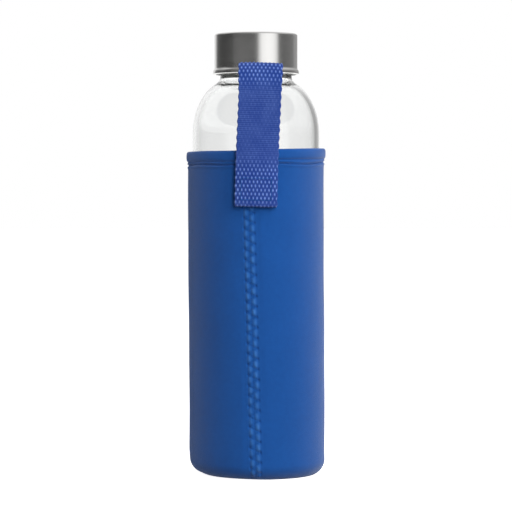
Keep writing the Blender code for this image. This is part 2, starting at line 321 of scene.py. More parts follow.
def turn(name: str, outline: Sequence[Point], steps: int, ring: bool = False) -> bpy.types.Object:
    """Spins an outline round the bottle's axis, as on a lathe.

    Args:
        name: the object's name.
        outline: (radius, height) points; an open one starts and ends on the axis.
        steps: facets round the axis.
        ring: whether the outline is a closed loop clear of the axis.

    Returns:
        The closed, smooth object.
    """
    obj = section(name, outline, ring)
    with editing(obj):
        bpy.ops.mesh.spin(steps=steps, angle=2 * math.pi, center=(0, 0, 0), axis=(0, 0, 1))
    close_up(obj)
    return obj


def unite(obj: bpy.types.Object, other: bpy.types.Object) -> None:
    """Joins other to obj as one skin, and removes other.

    Args:
        obj: the mesh that stays.
        other: the mesh that is merged into it.
    """
    modifier = obj.modifiers.new("Union", "BOOLEAN")
    modifier.operation = "UNION"
    modifier.object = other
    pick(obj)
    bpy.ops.object.modifier_apply(modifier=modifier.name)
    bpy.data.objects.remove(other, do_unlink=True)
    bpy.ops.object.shade_smooth_by_angle(angle=math.radians(CRISP))


def join(objects: Sequence[bpy.types.Object]) -> bpy.types.Object:
    """Gathers several meshes in the first one.

    Args:
        objects: the meshes.

    Returns:
        The first one.
    """
    pick(objects[0])
    for obj in objects[1:]:
        obj.select_set(True)
    bpy.ops.object.join()
    return objects[0]


def grid(name: str, rows: int, columns: int, place: Callable[[Array, Array], Array],
         cloth: Callable[[Array, Array], Array]) -> bpy.types.Object:
    """A sheet of rows by columns faces, laid where place says.

    Args:
        name: the object's name.
        rows: faces along the sheet.
        columns: faces across the sheet.
        place: from row and column numbers to (n, 3) points.
        cloth: from row and column numbers to (n, 2) places on the flat cloth in metres.

    Returns:
        The object, with the cloth's places in a UV map.
    """
    bpy.ops.object.select_all(action="DESELECT")
    bpy.ops.mesh.primitive_grid_add(x_subdivisions=rows, y_subdivisions=columns, size=2.0)
    obj = bpy.context.object
    obj.name = obj.data.name = name
    flat = read_points(obj)
    row = np.rint((flat[:, 0] + 1) / 2 * rows).astype(int)
    column = np.rint((flat[:, 1] + 1) / 2 * columns).astype(int)
    write_points(obj, place(row, column))
    lay_cloth(obj, cloth(row, column))
    return obj


def thread(name: str, points: Array, radius: float, ring: bool) -> bpy.types.Object:
    """A sewing thread of round section along points, as a mesh.

    Args:
        name: the object's name.
        points: (n, 3) places that it passes through.
        radius: its half thickness.
        ring: whether it closes on itself.

    Returns:
        The mesh object.
    """
    curve = bpy.data.curves.new(name, "CURVE")
    curve.dimensions = "3D"
    curve.bevel_depth = radius
    curve.bevel_resolution = 2
    curve.use_fill_caps = not ring
    spline = curve.splines.new("POLY")
    spline.points.add(len(points) - 1)
    spline.points.foreach_set("co", np.column_stack([points, np.ones(len(points))]).ravel())
    spline.use_cyclic_u = ring
    obj = bpy.data.objects.new(name, curve)
    bpy.context.scene.collection.objects.link(obj)
    pick(obj)
    bpy.ops.object.convert(target="MESH")
    close_up(obj, CLOTH_CRISP)
    return obj


def helical_ridges(name: str, spec: "ThreadForm", root: float, crest: float, width: float,
                   middle: float) -> bpy.types.Object:
    """Screw ridges that fade out at both ends, one for each start of the thread.

    Args:
        name: the object's name.
        spec: the thread's starts, lead and sweep.
        root: radius where the ridge leaves its wall, a little inside it.
        crest: radius of its tip.
        width: its width at the root.
        middle: height of the middle of the ridges.

    Returns:
        One object that holds all the ridges.
    """
    ridges = []
    climb = spec.lead * spec.sweep / (2 * math.pi)
    start_height = middle - climb / 2
    round_up = width * spec.tip_share
    round_out = math.copysign(round_up, crest - root)
    tip = arc((crest - round_out, start_height), (round_out, round_up), -75, 75, 6)
    outline = [(root, start_height - width / 2), *tip, (root, start_height + width / 2)]
    for start in range(spec.starts):
        ridge = section(f"{name}_{start}", outline, True)
        screw = ridge.modifiers.new("Helix", "SCREW")
        screw.angle = spec.sweep
        screw.screw_offset = climb
        screw.steps = screw.render_steps = spec.steps
        screw.use_merge_vertices = False
        pick(ridge)
        bpy.ops.object.modifier_apply(modifier=screw.name)
        points = read_points(ridge)
        radius = np.hypot(points[:, 0], points[:, 1])
        angle = np.mod(np.arctan2(points[:, 1], points[:, 0]) + ANGLE_SLACK, 2 * math.pi)
        along = angle / spec.sweep
        fade = np.clip(np.minimum(along, 1 - along) * spec.fade, spec.stub, 1.0)
        out = root + (radius - root) * np.sqrt(fade)
        turned = angle + 2 * math.pi * start / spec.starts
        write_points(ridge, np.column_stack([out * np.cos(turned), out * np.sin(turned),
                                             points[:, 2]]))
        with editing(ridge):
            bpy.ops.mesh.fill_holes(sides=0)
        close_up(ridge)
        ridges.append(ridge)
    obj = join(ridges)
    obj.name = obj.data.name = name
    return obj


# ------------------------------------------------------------------------- shader tools


@dataclass(frozen=True)
class Number:
    """A number inside a material. Arithmetic on it adds the Math nodes that work it out."""

    bench: "Bench"
    socket: bpy.types.NodeSocket

    def _math(self, operation: str, *values: "Number | float") -> "Number":
        """Adds one Math node.

        Args:
            operation: the node's operation.
            values: its inputs in order.

        Returns:
            Its result.
        """
        settings = {"operation": operation}
        return self.bench.number("ShaderNodeMath", settings, dict(enumerate(values)))

    def __add__(self, other: "Number | float") -> "Number":
        """Sum."""
        return self._math("ADD", self, other)

    def __radd__(self, other: float) -> "Number":
        """Sum with the plain number first."""
        return self._math("ADD", other, self)

    def __sub__(self, other: "Number | float") -> "Number":
        """Difference."""
        return self._math("SUBTRACT", self, other)

    def __rsub__(self, other: float) -> "Number":
        """Difference with the plain number first."""
        return self._math("SUBTRACT", other, self)

    def __mul__(self, other: "Number | float") -> "Number":
        """Product."""
        return self._math("MULTIPLY", self, other)

    def __rmul__(self, other: float) -> "Number":
        """Product with the plain number first."""
        return self._math("MULTIPLY", other, self)

    def __pow__(self, other: float) -> "Number":
        """Power."""
        return self._math("POWER", self, other)

    def __abs__(self) -> "Number":
        """Size without its sign."""
        return self._math("ABSOLUTE", self)

    def sine(self) -> "Number":
        """Sine of the number in radians."""
        return self._math("SINE", self)

    def floor(self) -> "Number":
        """Next whole number down."""
        return self._math("FLOOR", self)

    def at_least(self, other: "Number | float") -> "Number":
        """The larger of the two."""
        return self._math("MAXIMUM", self, other)


class Bench:
    """Adds nodes to one node tree."""

    def __init__(self, tree: bpy.types.NodeTree) -> None:
        """Takes the tree."""
        self.tree = tree

    def node(self, kind: str, settings: dict[str, object] | None = None,
             inputs: dict[int | str, object] | None = None) -> bpy.types.Node:
        """Adds a node of any kind.

        Args:
            kind: the node's type.
            settings: its properties, set first; stops fills a ramp with (place, colour) pairs.
            inputs: values, sockets or Numbers for its inputs, by name or number.

        Returns:
            The node.
        """
        made = self.tree.nodes.new(kind)
        for key, value in (settings or {}).items():
            if key == "stops":
                ramp = made.color_ramp.elements
                while len(ramp) < len(value):
                    ramp.new(1.0)
                for element, (place, colour) in zip(ramp, value):
                    element.position = place
                    element.color = (*colour, 1.0)
            else:
                setattr(made, key, value)
        for key, value in (inputs or {}).items():
            self.feed(made.inputs[key], value)
        return made

    def feed(self, socket: bpy.types.NodeSocket, value: object) -> None:
        """Links or sets one input.

        Args:
            socket: the input.
            value: a Number, a socket, a colour or a plain number.
        """
        if isinstance(value, Number):
            self.tree.links.new(value.socket, socket)
        elif isinstance(value, bpy.types.NodeSocket):
            self.tree.links.new(value, socket)
        elif isinstance(value, tuple) and socket.type == "RGBA":
            socket.default_value = (*value[:3], 1.0)
        else:
            socket.default_value = value

    def number(self, kind: str, settings: dict[str, object], inputs: dict[int | str, object],
               output: int | str = 0) -> Number:
        """Adds a node and takes one of its outputs as a Number."""
        return Number(self, self.node(kind, settings, inputs).outputs[output])

    def split(self, place: bpy.types.NodeSocket) -> list[Number]:
        """The three parts of a vector."""
        parts = self.node("ShaderNodeSeparateXYZ", {}, {0: place})
        return [Number(self, socket) for socket in parts.outputs]

    def smooth_step(self, value: Number, low: float, high: float) -> Number:
        """Rises smoothly from 0 where value is low to 1 where it is high."""
        settings = {"interpolation_type": "SMOOTHSTEP"}
        return self.number("ShaderNodeMapRange", settings, {0: value, 1: low, 2: high})

    def attribute(self, name: str) -> Number:
        """The numbers that a piece keeps under a name."""
        return self.number("ShaderNodeAttribute", {"attribute_name": name}, {}, "Fac")

    def object_place(self, scale: Triple = (1.0, 1.0, 1.0)) -> bpy.types.NodeSocket:
        """Object coordinates, stretched by scale."""
        place = self.node("ShaderNodeTexCoord").outputs["Object"]
        return self.node("ShaderNodeMapping", {}, {"Vector": place, "Scale": scale}).outputs[0]

    def cloth_place(self) -> list[Number]:
        """Places across and along the flat cloth, in metres."""
        return self.split(self.node("ShaderNodeUVMap", {"uv_map": CLOTH_MAP}).outputs[0])[:2]

    def noise(self, place: bpy.types.NodeSocket, scale: float, detail: float = 2.0) -> Number:
        """Soft noise between 0 and 1.

        Args:
            place: coordinates.
            scale: how fine it is, per metre.
            detail: how many finer layers it has.

        Returns:
            The noise.
        """
        inputs = {"Vector": place, "Scale": scale, "Detail": detail}
        return self.number("ShaderNodeTexNoise", {}, inputs)

    def mixed(self, factor: Number, first: object, second: object) -> bpy.types.NodeSocket:
        """A colour between two colours."""
        settings = {"data_type": "RGBA", "clamp_factor": True}
        return self.node("ShaderNodeMix", settings, {0: factor, 6: first, 7: second}).outputs[2]


class Recipe(Bench):
    """Builds one material round its Principled shader."""

    def __init__(self, name: str) -> None:
        """Starts an empty material.

        Args:
            name: the material's name.
        """
        self.material = bpy.data.materials.new(name)
        self.material.use_nodes = True
        super().__init__(self.material.node_tree)
        self.shader = self.tree.nodes["Principled BSDF"]

    def give(self, values: dict[str, object]) -> None:
        """Sets or links the shader's own inputs, by name."""
        for key, value in values.items():
            self.feed(self.shader.inputs[key], value)

    def relief(self, height: Number, depth: float) -> None:
        """Feeds the shader's normal from a height.

        Args:
            height: the pattern.
            depth: metres that one unit of it stands for.
        """
        inputs = {"Height": height, "Distance": depth, "Strength": 1.0}
        self.give({"Normal": self.node("ShaderNodeBump", {}, inputs).outputs[0]})


# ------------------------------------------------------------------------- finishes


def shaded(colour: Triple, share: float) -> Triple:
    """The same colour, darker."""
    return tuple(part * share for part in colour)


@dataclass(frozen=True)
class ClearGlass:
    """Fire-polished flint glass, with the faint waves of a blown wall."""

    colour: Triple = (0.935, 0.940, 0.938)
    ior: float = 1.5
    wave_scale: float = 38.0
    wave_depth: float = 0.00004
    haze_scale: float = 90.0
    haze: float = 0.012

    def make(self) -> bpy.types.Material:
        """Builds the material."""
        recipe = Recipe("clear_glass")
        recipe.give({"Base Color": self.colour, "Transmission Weight": 1.0, "IOR": self.ior})
        place = recipe.object_place((1.0, 1.0, 0.35))
        wave = recipe.noise(place, self.wave_scale, 1.0)
        recipe.give({"Roughness": recipe.noise(place, self.haze_scale) * self.haze})
        recipe.relief(wave, self.wave_depth)
        return recipe.material


@dataclass(frozen=True)
class SatinSteel:
    """Stainless steel turned on a lathe: fine lines round the axis, and a soft gloss."""

    colour: Triple = (0.66, 0.655, 0.645)
    roughness: float = 0.15
    line_scale: float = 9000.0
    line_depth: float = 0.0000012

    def make(self) -> bpy.types.Material:
        """Builds the material."""
        recipe = Recipe("satin_steel")
        recipe.give({"Metallic": 1.0, "Anisotropic": 0.35})
        lines = recipe.noise(recipe.object_place((0.02, 0.02, 1.0)), self.line_scale, 3.0)
        smears = recipe.noise(recipe.object_place((1.0, 1.0, 0.5)), 70.0, 3.0)
        rough = self.roughness + (lines - 0.5) * 0.06 + (smears - 0.5) * 0.05
        recipe.give({"Base Color": recipe.mixed(lines, shaded(self.colour, 0.93), self.colour),
                     "Roughness": rough})
        recipe.relief(lines, self.line_depth)
        return recipe.material


@dataclass(frozen=True)
class Moulded:
    """Moulded plastic or silicone with a fine spark-eroded grain."""

    name: str
    colour: Triple
    roughness: float
    see_through: float = 0.0
    grain_scale: float = 2600.0
    grain_depth: float = 0.00002

    def make(self) -> bpy.types.Material:
        """Builds the material."""
        recipe = Recipe(self.name)
        recipe.give({"Subsurface Weight": self.see_through, "Subsurface Scale": 0.002})
        grain = recipe.noise(recipe.object_place(), self.grain_scale, 3.0)
        recipe.give({"Base Color": recipe.mixed(grain, shaded(self.colour, 0.94), self.colour),
                     "Roughness": self.roughness + (grain - 0.5) * 0.12})
        recipe.relief(grain, self.grain_depth)
        return recipe.material


@dataclass(frozen=True)
class KnitNeoprene:
    """Foamed rubber faced with fine royal blue jersey."""

    colour: Triple = (0.009, 0.078, 0.310)
    deep: Triple = (0.006, 0.060, 0.245)
    # painted highlight colour of the seam's cushions, where they face the light
    puff_highlight: Triple = (0.045, 0.175, 0.480)
    wale: float = 0.00055          # width of one column of knit loops
    course: float = 0.00045        # height of one row
    knit_depth: float = 0.00006

    def make(self) -> bpy.types.Material:
        """Builds the material."""
        recipe = Recipe("knit_neoprene")
        recipe.give({"Sheen Weight": 0.22, "Sheen Roughness": 0.5,
                     "Sheen Tint": (0.90, 0.94, 1.0), "Specular IOR Level": 0.2})
        across, along = recipe.cloth_place()
        slant = abs((across * (math.pi / self.wale)).sine())
        stitch = ((along + slant * (self.course * 0.6)) * (2 * math.pi / self.course)).sine()
        knit = slant * 0.6 + stitch * 0.2 + 0.2
        place = recipe.object_place()
        mottle = recipe.noise(place, 420.0, 3.0) * 0.55 + recipe.noise(place, 60.0, 2.0) * 0.45
        tone = mottle * 0.75 + knit * 0.25
        plain = recipe.mixed((tone - 0.3) * 2.4, self.deep, self.colour)
        # painted highlight: the seam's cushions are drawn paler by the share that the tube marks on
        # them
        paler = recipe.attribute("stretch") * 0.6
        recipe.give({"Base Color": recipe.mixed(paler, plain, self.puff_highlight),
                     "Roughness": 0.82 + (mottle - 0.5) * 0.2})
        recipe.relief(knit + mottle * 0.8, self.knit_depth)
        return recipe.material


@dataclass(frozen=True)
class SewingThread:
    """Twisted polyester thread in the sleeve's blue."""

    colour: Triple = (0.008, 0.074, 0.300)
    twist_scale: float = 900.0
    twist_depth: float = 0.00008

    def make(self) -> bpy.types.Material:
        """Builds the material."""
        recipe = Recipe("sewing_thread")
        recipe.give({"Specular IOR Level": 0.25})
        inputs = {"Vector": recipe.object_place(), "Scale": self.twist_scale, "Distortion": 1.5}
        twist = recipe.number("ShaderNodeTexWave", {"bands_direction": "DIAGONAL"}, inputs, "Fac")
        recipe.give({"Base Color": recipe.mixed(twist, shaded(self.colour, 0.75), self.colour),
                     "Roughness": 0.5 + twist * 0.15})
        recipe.relief(twist, self.twist_depth)
        return recipe.material


@dataclass(frozen=True)
class BlueWebbing:
    """Polypropylene webbing: warp floats over a darker ground of weft, the float tops carrying a
    painted highlight that is strongest where the strip is sewn or turned over.
    """

    yarn: float
    pick: float
    ground: Triple = (0.006, 0.030, 0.190)
    # painted highlight colour of the float tops
    float_highlight: Triple = (0.150, 0.250, 0.620)
    relief_depth: float = 0.00006

    def make(self) -> bpy.types.Material:
        """Builds the material."""
        recipe = Recipe("blue_webbing")
        recipe.give({"Sheen Weight": 0.1, "Sheen Roughness": 0.4, "Sheen Tint": (0.6, 0.7, 1.0),
                     "Specular IOR Level": 0.45})
        across, along = recipe.cloth_place()
        column = (across * (1 / self.yarn)).floor()
        round_yarn = abs((across * (math.pi / self.yarn)).sine())
        wave = (along * (math.pi / self.pick) + column * math.pi).sine()
        top = wave.at_least(0.0) ** 1.7 * round_yarn ** 0.7
        fibre = recipe.noise(recipe.object_place((3.0, 3.0, 0.4)), 2400.0, 2.0)
        patch = recipe.noise(recipe.object_place(), 160.0, 2.0)
        # painted highlight on the float tops, weighted by the weave's looseness share, so brightest
        # where the strip is sewn or turned over
        loose = recipe.attribute("loose")
        rib = abs((along * (2 * math.pi / self.pick)).sine())
        # ribs across the taut middle, which is also drawn a little darker there as painted shade
        taut = (1.0 - loose) * (rib * 0.20 - 0.05)
        uneven = (fibre - 0.5) * 0.35 + (patch - 0.5) * 0.3
        tone = top * loose * (0.40 + patch) + taut + uneven
        recipe.give({"Base Color": recipe.mixed(tone, self.ground, self.float_highlight),
                     "Roughness": 0.62 - top * 0.18})
        recipe.relief(fibre * 0.5 + top * 0.5, self.relief_depth)
        return recipe.material


class Slot(Enum):
    """The record's material slots."""

    GLASS = "glass"
    STEEL = "steel"
    LINER = "liner_plastic"
    SILICONE = "silicone"
    NEOPRENE = "neoprene"
    THREAD = "thread"
    WEBBING = "webbing"


class Body(Enum):
    """The bodies of the frame."""

    SLEEVE = "sleeve"
    BOTTLE = "bottle"
    SEAL = "cap_seal"
    CAP = "cap"
    STRAP = "strap"


@dataclass
class Wardrobe:
    """Every finish, made once and handed to the pieces that wear it."""

    yarn: float
    pick: float

    def __post_init__(self) -> None:
        """Makes the materials."""
        finishes = {
            Slot.GLASS: ClearGlass(),
            Slot.STEEL: SatinSteel(),
            Slot.LINER: Moulded("liner_plastic", (0.62, 0.62, 0.60), 0.42),
            Slot.SILICONE: Moulded("clear_silicone", (0.82, 0.83, 0.80), 0.36, 0.3),
            Slot.NEOPRENE: KnitNeoprene(),
            Slot.THREAD: SewingThread(),
            Slot.WEBBING: BlueWebbing(self.yarn, self.pick),
        }
        self.made = {slot: finish.make() for slot, finish in finishes.items()}

    def dress(self, obj: bpy.types.Object, slot: Slot) -> None:
        """Gives obj the slot's finish.

        Args:
            obj: the piece.
            slot: the finish that it wears.
        """
        obj.data.materials.clear()
        obj.data.materials.append(self.made[slot])


def place_piece(obj: bpy.types.Object, body: Body, stands_for: str) -> None:
    """Lets a finished piece ride on a body in place of a plain solid.

    Args:
        obj: the piece.
        body: what it moves with.
        stands_for: the frame's node that it hides.
    """
    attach(obj, body.value)
    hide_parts(stands_for)
    LOG.info("%s rides on %s, %d faces", obj.name, body.value, len(obj.data.polygons))


# ------------------------------------------------------------------------- bottle


@dataclass(frozen=True)
class ThreadForm:
    """The screw thread between neck and cap."""

    starts: int = 3
    lead: float = 12.6 * MM
    sweep: float = math.radians(150)
    depth: float = 0.9 * MM
    clearance: float = 0.35 * MM
    steps: int = 40
    fade: float = 5.0              # how quickly a ridge rises from its ends
    stub: float = 0.05             # share of its height that is left at the very end
    tip_share: float = 0.28        # rounding of the tip, as a share of the ridge's width


@dataclass
class GlassFlask:
    """The glass: a hollow, round-shouldered flask with a screw neck."""

    form: ThreadForm
    wall: float = 2.2 * MM
    floor: float = 4.0 * MM
    floor_fillet: float = 5.0 * MM
    punt_radius: float = 22.0 * MM
    punt_rise: float = 1.5 * MM
    shoulder_depth: float = 18.6 * MM
    shoulder_rise: float = 27.0 * MM
    neck_radius: float = 17.9 * MM
    neck_height: float = 18.6 * MM
    neck_wall: float = 2.6 * MM
    neck_fillet: float = 2.6 * MM
    bore_fillet: float = 2.2 * MM
    bore_taper: float = 1.25 * MM   # widening of the bore towards the shoulder
    taper_height: float = 4.1 * MM
    lip_fillet: float = 0.9 * MM
    heel: float = 5.3 * MM
    ridge_width: float = 1.5 * MM
    steps: int = 160

    def __post_init__(self) -> None:
        """Takes the outer sizes from the frame."""
        low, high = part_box("glass_bottle")
        self.radius = (high[0] - low[0]) / 2
        self.bottom, self.top = low[2], high[2]

    def side(self, inset: float, neck: float) -> list[Point]:
        """One face of the wall, from the neck down to the start of the straight side.

        Args:
            inset: distance inwards from the outer face.
            neck: radius of this face at the neck.

        Returns:
            (radius, height) points.
        """
        depth = self.shoulder_depth - inset
        rise = self.shoulder_rise - inset
        middle = (self.radius - self.shoulder_depth,
                  self.top - self.neck_height - self.shoulder_rise)
        round_off = self.bore_fillet if inset else self.neck_fillet
        taper = self.bore_taper if inset else 0.0
        root = neck + taper
        angle = math.acos((root + round_off - middle[0]) / depth)
        shoulder = arc(middle, (depth, rise), math.degrees(angle), 0, 36)
        slope = rise * math.cos(angle) / (depth * math.sin(angle))
        corner = shoulder[0][1] + round_off * slope
        lean = taper / self.taper_height
        fillet = bend((root - round_off * slope * lean, corner + round_off * slope), (root, corner),
                      shoulder[0], 14)
        if taper:
            fillet.insert(0, (neck, corner + self.taper_height))
        return fillet + shoulder

    def outline(self) -> list[Point]:
        """The whole section: up the inside, over the lip and down the outside."""
        bore = self.neck_radius - self.neck_wall
        inner = self.radius - self.wall
        floor = self.bottom + self.floor
        lip = self.lip_fillet
        crown = floor + self.punt_rise / 2
        points = bend((0.0, crown), (self.punt_radius * 0.5, crown), (self.punt_radius, floor), 8)
        points += reversed(round_corner((inner, floor), self.floor_fillet, Corner.BOTTOM_OUTER, 10))
        points += reversed(self.side(self.wall, bore))
        points += round_corner((bore, self.top), lip, Corner.TOP_INNER, 6)
        points += round_corner((self.neck_radius, self.top), lip, Corner.TOP_OUTER, 6)
        points += self.side(0.0, self.neck_radius)
        points += round_corner((self.radius, self.bottom), self.heel, Corner.BOTTOM_OUTER, 12)
        punt = self.bottom + self.punt_rise
        points += bend((self.punt_radius, self.bottom), (self.punt_radius * 0.6, punt),
                       (0.0, punt), 8)
        return points

    def build(self, wardrobe: Wardrobe, thread_middle: float) -> None:
        """Models the flask with its moulded thread.

        Args:
            wardrobe: the finishes.
            thread_middle: height of the middle of the ridges.
        """
        flask = turn("glass_flask", self.outline(), self.steps)
        root = self.neck_radius - self.neck_wall / 4
        crest = self.neck_radius + self.form.depth
        ridges = helical_ridges("glass_thread", self.form, root, crest, self.ridge_width,
                                thread_middle)
        unite(flask, ridges)
        wardrobe.dress(flask, Slot.GLASS)
        place_piece(flask, Body.BOTTLE, "glass_bottle")


@dataclass
class ScrewCap:
    """The cap: a drawn steel shell over a threaded liner, with a gasket inside."""

    form: ThreadForm
    neck_radius: float
    sheet: float = 0.5 * MM
    crown_fillet: float = 1.1 * MM
    flare_reach: float = 0.8 * MM
    flare_height: float = 3.6 * MM
    flare_ease: float = 0.4 * MM    # above that height, where the wall starts to lean out
    flare_turn: float = 0.35 * MM   # below it, where the wall's line meets the cone's
    cone_share: float = 0.62        # of the flare's reach, taken up by its cone
    cone_height: float = 0.95 * MM
    bulge_height: float = 1.5 * MM  # down to the middle of the bulge under the cone
    roll: float = 0.35 * MM         # radius of the rolled lip
    lift: float = 0.55 * MM         # of the lip above the cap's lowest point
    plate: float = 1.2 * MM
    gasket_width: float = 4.5 * MM
    plug_wall: float = 1.4 * MM
    plug_drop: float = 1.4 * MM
    liner_edge: float = 0.2 * MM
    gasket_edge: float = 0.35 * MM
    ridge_width: float = 1.3 * MM
    steps: int = 160

    def __post_init__(self) -> None:
        """Takes the outer sizes from the frame."""
        low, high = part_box("cap_shell")
        self.lip = (high[0] - low[0]) / 2
        self.radius = self.lip - self.flare_reach
        self.bottom, self.top = low[2], high[2]
        self.gasket_low, self.gasket_high = (corner[2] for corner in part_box("cap_gasket"))
        self.bore = self.neck_radius + self.form.depth + self.form.clearance
        self.liner_radius = self.radius - self.sheet - FIT
        self.thread_middle = (self.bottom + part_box("glass_bottle")[1][2]) / 2

    def shell_outline(self) -> list[Point]:
        """The sheet's outside down and round the rolled lip, then its inside up."""
        shoulder = self.bottom + self.flare_height
        under = self.bottom + self.lift
        inner = self.radius - self.sheet
        ceiling = self.top - self.sheet
        break_edge = 0.1 * MM
        wall_end = (self.radius, shoulder + self.flare_ease)
        wall_turn = (self.radius, shoulder - self.flare_turn)
        cone_end = (self.radius + self.flare_reach * self.cone_share, shoulder - self.cone_height)
        points = [(0.0, self.top), (self.radius * 0.6, self.top)]
        points += round_corner((self.radius, self.top), self.crown_fillet, Corner.TOP_OUTER, 8)
        points += straight(points[-1], wall_end, 3 * MM)
        points += bend(wall_end, wall_turn, cone_end, 8)
        points += bend(cone_end, (self.lip, shoulder - self.bulge_height),
                       (self.lip, under + self.roll), 6)[1:]
        points += round_corner((self.lip, under), self.roll, Corner.BOTTOM_OUTER, 8)[1:]
        points += [(inner + break_edge, under), (inner, under + break_edge)]
        points += reversed(round_corner((inner, ceiling), self.crown_fillet - self.sheet,
                                        Corner.TOP_OUTER, 5))
        points.append((0.0, ceiling))
        return points

    def liner_outline(self) -> list[Point]:
        """The liner's outside down, its inside up, and the plug that centres the gasket."""
        outer = self.liner_radius
        top = self.top - self.sheet - FIT
        ceiling = top - self.plate
        foot = self.bottom + FIT
        plug = self.bore - FIT - self.gasket_width - FIT
        plug_inner, plug_foot = plug - self.plug_wall, ceiling - self.plug_drop
        edge = self.liner_edge
        return [(0.0, top), (outer - edge * 2, top), (outer, top - edge * 2),
                (outer, foot + edge), (outer - edge, foot),
                (self.bore + edge, foot), (self.bore, foot + edge), (self.bore, ceiling),
                (plug, ceiling), (plug, plug_foot + edge), (plug - edge, plug_foot),
                (plug_inner, plug_foot), (plug_inner, ceiling), (0.0, ceiling)]

    def gasket_outline(self) -> list[Point]:
        """A flat ring with rounded edges."""
        outer = self.bore - FIT
        inner = outer - self.gasket_width
        heights = (self.gasket_high, self.gasket_high, self.gasket_low, self.gasket_low)
        points = []
        for radius, height, which in zip((inner, outer, outer, inner), heights, Corner):
            points += round_corner((radius, height), self.gasket_edge, which, 3)
        return points

    def build(self, wardrobe: Wardrobe) -> None:
        """Models the shell, the liner with its thread, and the gasket.

        Args:
            wardrobe: the finishes.
        """
        shell = turn("cap_steel_shell", self.shell_outline(), self.steps)
        wardrobe.dress(shell, Slot.STEEL)
        place_piece(shell, Body.CAP, "cap_shell")
        liner = turn("cap_liner", self.liner_outline(), self.steps)
        middle = self.thread_middle - self.form.lead / self.form.starts / 2
        root = (self.bore + self.liner_radius) / 2
        crest = self.neck_radius + self.form.clearance
        ridges = helical_ridges("liner_thread", self.form, root, crest, self.ridge_width, middle)
        unite(liner, ridges)
        wardrobe.dress(liner, Slot.LINER)
        place_piece(liner, Body.CAP, "cap_insert")
        gasket = turn("cap_seal_ring", self.gasket_outline(), self.steps, ring=True)
        wardrobe.dress(gasket, Slot.SILICONE)
        place_piece(gasket, Body.SEAL, "cap_gasket")


# ------------------------------------------------------------------------- sleeve


